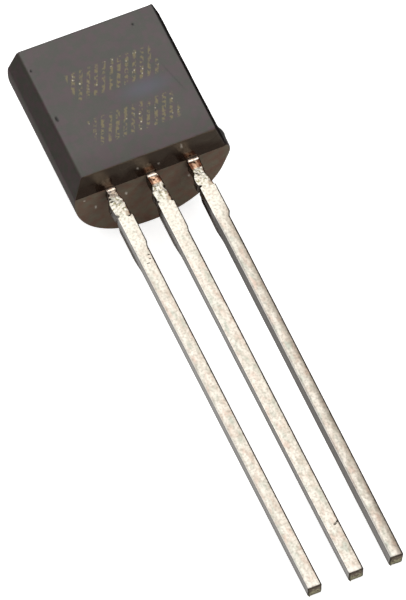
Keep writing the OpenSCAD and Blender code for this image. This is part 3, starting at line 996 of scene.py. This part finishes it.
def hot_dipped_tin(size):
    """Copper strip, punched and then dipped in molten tin.

    The tin is pale and warm with a frosted grain some 0.08 mm across, and cloudy pink and green
    patches of 0.2 mm drawn out along the lead. It thins to brown over the punched edges, and the
    bare copper of the necks glows through in streaks. A painted highlight runs along the front-left
    corners and the fronts of the tips, and painted shade lies in the notches, down the left sides
    near the body, along some left margins and towards the right.
    """
    material, tree = new_material("hot_dipped_tin")
    place = package_place(tree)
    marks = {
        key: add_node(tree, "ShaderNodeAttribute", attribute_name=key).outputs["Fac"]
        for key in (
            "lighter_near_body", "tarnish_and_shade", "painted_highlight", "neck", "sheared", "torn", "copper", "tie_bar", "punched_and_side_shade", "notch_shade"
        )
    }
    drawn = add_node(tree, "ShaderNodeVectorMath", {0: place, 1: (1.0, 1.0, 0.45)}, operation="MULTIPLY")
    tint = add_node(tree, "ShaderNodeTexNoise", {"Vector": drawn, "Scale": 4.0, "Detail": 3.0})
    tint = add_node(tree, "ShaderNodeMapRange", {"Value": tint, "From Min": 0.4, "From Max": 0.6})
    cloud = add_node(tree, "ShaderNodeTexNoise", {"Vector": drawn, "Scale": 6.0, "Detail": 4.0})
    cloud = add_node(tree, "ShaderNodeMapRange", {"Value": cloud, "From Min": 0.4, "From Max": 0.58})
    fine = add_node(tree, "ShaderNodeTexNoise", {"Vector": place, "Scale": 13.0, "Detail": 3.0})
    frost = {"Value": fine, "From Min": 0.46, "From Max": 0.66, "To Max": 0.45}
    frost = add_node(tree, "ShaderNodeMapRange", frost)
    speck = add_node(tree, "ShaderNodeTexNoise", {"Vector": place, "Scale": 12.0, "Detail": 2.0})
    speck = add_node(tree, "ShaderNodeMapRange", {"Value": speck, "From Min": 0.53, "From Max": 0.62})
    speck = add_node(tree, "ShaderNodeMath", {0: speck, 1: marks["neck"]}, operation="MULTIPLY")
    streak = add_node(tree, "ShaderNodeVectorMath", {0: place, 1: (1.0, 1.0, 0.12)}, operation="MULTIPLY")
    streak = add_node(tree, "ShaderNodeTexNoise", {"Vector": streak, "Scale": 9.0, "Detail": 1.0})
    streak = add_node(tree, "ShaderNodeMapRange", {"Value": streak, "From Min": 0.4, "From Max": 0.56})
    streak = {0: streak, 6: linear("6a3820"), 7: tuple(size.copper)}
    streak = add_node(tree, "ShaderNodeMix", streak, data_type="RGBA")
    base = linear("cebaab")
    for share, most, layer in (
        (tint, 1.0, linear("bcbeb1")),
        (cloud, 1.0, tuple(size.tin)),
        # Lighter towards the body
        (marks["lighter_near_body"], 0.6, linear("e4dfd2")),
        # Partly tarnish, partly painted shade towards the right
        (marks["tarnish_and_shade"], 0.75, linear("a8937c")),
        (frost, 1.0, linear("978d7e")),
        # Painted highlight along the front-left corners and on the fronts of the tips
        (marks["painted_highlight"], 0.55, linear("f6f3ee")),
        (speck, 0.85, linear("8f8766")),
        (marks["sheared"], 1.0, tuple(size.sheared)),
        # Torn sides, and the painted shade along the left margin
        (marks["torn"], 0.9, linear("746f6a")),
        (marks["copper"], 1.0, streak),
        (marks["tie_bar"], 0.9, linear("683c29")),
        # Brown punched edges and burr, and painted shade down the left side near the body
        (marks["punched_and_side_shade"], 1.0, linear("4a3a2e")),
        # Painted shade in the notches of the tin
        (marks["notch_shade"], 1.0, tuple(size.notch_shade_colour)),
    ):
        share = add_node(tree, "ShaderNodeMath", {0: share, 1: most}, operation="MULTIPLY")
        base = add_node(tree, "ShaderNodeMix", {0: share, 6: base, 7: layer}, data_type="RGBA")
    rough = add_node(tree, "ShaderNodeMapRange", {"Value": fine, "To Min": 0.22, "To Max": 0.5})
    rough = add_node(tree, "ShaderNodeMix", {0: marks["sheared"], 2: rough, 3: 0.16}, data_type="FLOAT")
    force = add_node(tree, "ShaderNodeMapRange", {"Value": marks["neck"], "To Min": 0.4, "To Max": 1.0})
    bump = add_node(tree, "ShaderNodeBump", {"Height": fine, "Strength": force, "Distance": 0.01 * MM})
    inputs = {"Base Color": base, "Metallic": 1.0, "Roughness": rough, "Normal": bump}
    return finish_material(material, tree, inputs)


def cropped_end():
    """Tinned copper, cropped with a tool: burnished and brown in front, torn and olive behind.

    The tears are some 0.06 mm across, and the rim is darker.
    """
    material, tree = new_material("cropped_end")
    place = package_place(tree)
    rim = add_node(tree, "ShaderNodeAttribute", attribute_name="end_rim").outputs["Fac"]
    depth = add_node(tree, "ShaderNodeSeparateXYZ", {"Vector": place}).outputs["Y"]
    tears = add_node(tree, "ShaderNodeTexNoise", {"Vector": place, "Scale": 16.0, "Detail": 3.0})
    torn = add_node(tree, "ShaderNodeMath", {0: depth, 1: tears}, operation="ADD")
    torn = add_node(tree, "ShaderNodeMapRange", {"Value": torn, "From Min": 0.62, "From Max": 0.78})
    base = linear("8a7a6e")
    for share, layer in ((torn, linear("cfcbaa")), (rim, linear("2e2822"))):
        base = add_node(tree, "ShaderNodeMix", {0: share, 6: base, 7: layer}, data_type="RGBA")
    rough = add_node(tree, "ShaderNodeMapRange", {"Value": tears, "To Min": 0.35, "To Max": 0.6})
    bump = add_node(tree, "ShaderNodeBump", {"Height": tears, "Strength": 0.5, "Distance": 0.02 * MM})
    inputs = {"Base Color": base, "Metallic": 1.0, "Roughness": rough, "Normal": bump}
    return finish_material(material, tree, inputs)


def inner_finish(name, shade, pattern, share, rough, metallic, **settings):
    """A finish of what lies inside: a pattern that darkens the colour and changes the gloss."""
    material, tree = new_material(name)
    pattern = add_node(tree, pattern, {"Vector": package_place(tree), **settings})
    base = {0: pattern, 6: toned(shade, share), 7: tuple(shade)}
    base = add_node(tree, "ShaderNodeMix", base, data_type="RGBA")
    rough = add_node(tree, "ShaderNodeMapRange", {"Value": pattern, "To Min": rough[0], "To Max": rough[1]})
    inputs = {"Base Color": base, "Metallic": metallic, "Roughness": rough}
    return finish_material(material, tree, inputs)


def inner_finishes(size):
    """Each inner piece's finish, by the name of its node."""
    # Diced silicon: blue-grey and glassy, with faint saw lines some 0.02 mm apart on its sides
    silicon = inner_finish(
        "lapped_silicon", size.silicon, "ShaderNodeTexWave", 0.8, (0.15, 0.3), 0.6, Scale=15.0, Distortion=0.5
    )
    # Soft solder that has flowed and set: dull grey with a mottle of crystals some 0.08 mm across
    solder = inner_finish(
        "soft_solder", size.solder, "ShaderNodeTexVoronoi", 0.7, (0.35, 0.55), 1.0, Scale=12.0
    )
    # Fine gold wire, drawn through diamond dies: bright, with a faint texture some 0.025 mm across
    gold = inner_finish(
        "drawn_gold", size.gold, "ShaderNodeTexNoise", 0.85, (0.12, 0.25), 1.0, Scale=40.0, Detail=1.0
    )
    return {"die": silicon, "die_attach": solder, "emitter_wire": gold, "base_wire": gold}


# ---- stage ----

# What the camera looks at, in metres, and how far the board spreads
AIM = Vector((-0.375, -0.026, 1.969)) * MM
BOARD_REACH = 1.5
# Extra glow of the board for the camera alone, so that it shows as a white background
BOARD_LIFT = 0.7
# How bright the board looks in mirrors
BOARD_IN_MIRRORS = 0.75
# Places from left to right between which the sky dims, and the share of its light from the right
SKY_DIMS, SKY_RIGHT = (-0.3, 0.8), 0.22
# Where the lamps hang, seen from the part, and how far off, how wide and how deep they are, in metres
SOFTBOX_WAY, SOFTBOX_FAR, SOFTBOX_SIZE = Vector((-0.09, 0.32, 0.94)), 0.3, (0.47, 0.36)
CARD_WAY, CARD_FAR, CARD_SIZE = Vector((0.215, -0.889, 0.405)), 0.3, (0.16, 0.16)


def painted_board(size):
    """A board painted in matt off-white, with a barely visible tooth 1 mm across.

    It glows a little for the camera alone and looks grey in mirrors, as a pale board under a part
    does where the lamps miss it.
    """
    material, tree = new_material("painted_board")
    place = add_node(tree, "ShaderNodeTexCoord").outputs["Object"]
    rays = add_node(tree, "ShaderNodeLightPath").outputs
    tooth = add_node(tree, "ShaderNodeTexNoise", {"Vector": place, "Scale": 0.9 / MM, "Detail": 2.0})
    base = toned(size.floor, 0.98)
    for share, layer in (
        (tooth, tuple(size.floor)), (rays["Is Glossy Ray"], toned(size.floor, BOARD_IN_MIRRORS))
    ):
        base = add_node(tree, "ShaderNodeMix", {0: share, 6: base, 7: layer}, data_type="RGBA")
    board = add_node(tree, "ShaderNodeBsdfDiffuse", {"Color": base})
    seen = {0: rays["Is Camera Ray"], 1: BOARD_LIFT}
    seen = add_node(tree, "ShaderNodeMath", seen, operation="MULTIPLY")
    lift = add_node(tree, "ShaderNodeEmission", {"Strength": seen})
    both = add_node(tree, "ShaderNodeAddShader", {0: board, 1: lift})
    add_node(tree, "ShaderNodeOutputMaterial", {"Surface": both})
    return material


def view_axes(azimuth, elevation, roll):
    """The camera's right, its up and the way back to it, from its angles."""
    level_share = math.cos(elevation)
    back = Vector((math.sin(azimuth) * level_share, -math.cos(azimuth) * level_share, math.sin(elevation)))
    level = Vector((0, 0, 1)).cross(back).normalized()
    upright = back.cross(level)
    right = math.cos(roll) * level + math.sin(roll) * upright
    return right, back.cross(right), back


def add_camera(size):
    """The camera, at its distance from the aim along its back axis."""
    right, up, back = view_axes(size.azimuth, size.elevation, size.roll)
    data = bpy.data.cameras.new("camera")
    data.lens = size.lens
    data.clip_start = 0.01
    camera = bpy.data.objects.new("camera", data)
    turn = Matrix((right, up, back)).transposed().to_4x4()
    camera.matrix_world = Matrix.Translation(AIM + back * size.distance) @ turn
    bpy.context.scene.collection.objects.link(camera)
    bpy.context.scene.camera = camera


def add_lamp(name, radiance, way, far, size):
    """A rectangular lamp of that radiance, aimed at the part from far off, and unseen itself."""
    wide, deep = size
    data = bpy.data.lights.new(name, "AREA")
    data.shape = "RECTANGLE"
    data.size, data.size_y = wide, deep
    data.energy = radiance * math.pi * wide * deep
    lamp = bpy.data.objects.new(name, data)
    way = way.normalized()
    level = (Vector((1, 0, 0)) - way * way.x).normalized()
    turn = Matrix((level, way.cross(level), way)).transposed().to_4x4()
    lamp.matrix_world = Matrix.Translation(AIM + way * far) @ turn
    lamp.visible_camera = False
    bpy.context.scene.collection.objects.link(lamp)


def add_sky(size):
    """Light from all round, dimmer from the right, which the camera sees as white."""
    world = bpy.data.worlds.new("room")
    world.use_nodes = True
    tree = world.node_tree
    tree.nodes.clear()
    way = add_node(tree, "ShaderNodeTexCoord").outputs["Generated"]
    way = add_node(tree, "ShaderNodeSeparateXYZ", {"Vector": way}).outputs["X"]
    dimmed = {"Value": way, "To Min": size.sky, "To Max": SKY_RIGHT * size.sky}
    dimmed.update({"From Min": SKY_DIMS[0], "From Max": SKY_DIMS[1]})
    dimmed = add_node(tree, "ShaderNodeMapRange", dimmed)
    seen = add_node(tree, "ShaderNodeLightPath").outputs["Is Camera Ray"]
    strength = add_node(tree, "ShaderNodeMix", {0: seen, 2: dimmed, 3: 1.0}, data_type="FLOAT")
    glow = add_node(tree, "ShaderNodeBackground", {"Strength": strength})
    add_node(tree, "ShaderNodeOutputWorld", {"Surface": glow})
    bpy.context.scene.world = world


def add_board(size):
    """The board that the part lies on: one flat square at the lowest height of the part."""
    mesh = bpy.data.meshes.new("board")
    r = BOARD_REACH
    mesh.from_pydata([(-r, -r, 0), (r, -r, 0), (r, r, 0), (-r, r, 0)], [], [(0, 1, 2, 3)])
    mesh.materials.append(painted_board(size))
    board = bpy.data.objects.new("board", mesh)
    bpy.context.scene.collection.objects.link(board)


# ---- operators, panel and registration ----


class TRANSISTOR_OT_body(bpy.types.Operator):
    """Build the moulded body in place of its plain solid"""

    bl_idname = "transistor.body"
    bl_label = "Moulded Body"

    def execute(self, context):
        size = context.scene.transistor_body
        body = build_body(size, [polished_epoxy(size), glossy_epoxy(), matte_epoxy(size)])
        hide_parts("moulded_body")
        return {"FINISHED"}


class TRANSISTOR_OT_leads(bpy.types.Operator):
    """Build the three tinned leads in place of their plain solids"""

    bl_idname = "transistor.leads"
    bl_label = "Tinned Leads"

    def execute(self, context):
        size = context.scene.transistor_leads
        finishes = [hot_dipped_tin(size), cropped_end()]
        for number, name in enumerate(NECKS):
            lead = build_lead(name, 10 * (number + 1), size, finishes)
            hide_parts(name)
        return {"FINISHED"}


class TRANSISTOR_OT_inside(bpy.types.Operator):
    """Finish the die, its solder and the bond wires, which keep their solids"""

    bl_idname = "transistor.inside"
    bl_label = "Die and Bond Wires"

    def execute(self, context):
        for name, material in inner_finishes(context.scene.transistor_inside).items():
            node = frame["nodes"][name]
            if not node.material_slots:
                node.data.materials.append(material)
            for slot in node.material_slots:
                slot.material = material
        return {"FINISHED"}


class TRANSISTOR_OT_stage(bpy.types.Operator):
    """Set up the board, the lights and the camera"""

    bl_idname = "transistor.stage"
    bl_label = "Studio"

    def execute(self, context):
        size = context.scene.transistor_stage
        add_camera(size)
        add_board(size)
        add_lamp("softbox", size.softbox, SOFTBOX_WAY, SOFTBOX_FAR, SOFTBOX_SIZE)
        add_lamp("card", size.card, CARD_WAY, CARD_FAR, CARD_SIZE)
        add_sky(size)
        context.scene.view_settings.view_transform = "Standard"
        return {"FINISHED"}


OPERATORS = (TRANSISTOR_OT_stage, TRANSISTOR_OT_body, TRANSISTOR_OT_leads, TRANSISTOR_OT_inside)
SETTINGS = {
    "transistor_body": BodySettings,
    "transistor_leads": LeadSettings,
    "transistor_inside": DieSettings,
    "transistor_stage": StageSettings,
}


class TRANSISTOR_PT_panel(bpy.types.Panel):
    """The steps that build the transistor, with their settings"""

    bl_idname = "TRANSISTOR_PT_panel"
    bl_label = "Moulded Transistor"
    bl_space_type = "VIEW_3D"
    bl_region_type = "UI"
    bl_category = "Transistor"

    def draw(self, context):
        for operator in OPERATORS:
            self.layout.operator(operator.bl_idname)
        for name, settings in SETTINGS.items():
            box = self.layout.box()
            for key in settings.__annotations__:
                box.prop(getattr(context.scene, name), key)


def register():
    for cls in (*SETTINGS.values(), *OPERATORS, TRANSISTOR_PT_panel):
        bpy.utils.register_class(cls)
    for name, settings in SETTINGS.items():
        setattr(bpy.types.Scene, name, bpy.props.PointerProperty(type=settings))


def unregister():
    for name in SETTINGS:
        delattr(bpy.types.Scene, name)
    for cls in (TRANSISTOR_PT_panel, *reversed(OPERATORS), *reversed(list(SETTINGS.values()))):
        bpy.utils.unregister_class(cls)


def main():
    """Builds everything in order."""
    register()
    bpy.ops.transistor.stage()
    bpy.ops.transistor.body()
    bpy.ops.transistor.leads()
    bpy.ops.transistor.inside()
    bpy.context.view_layer.update()


if __name__ == "__main__":
    main()
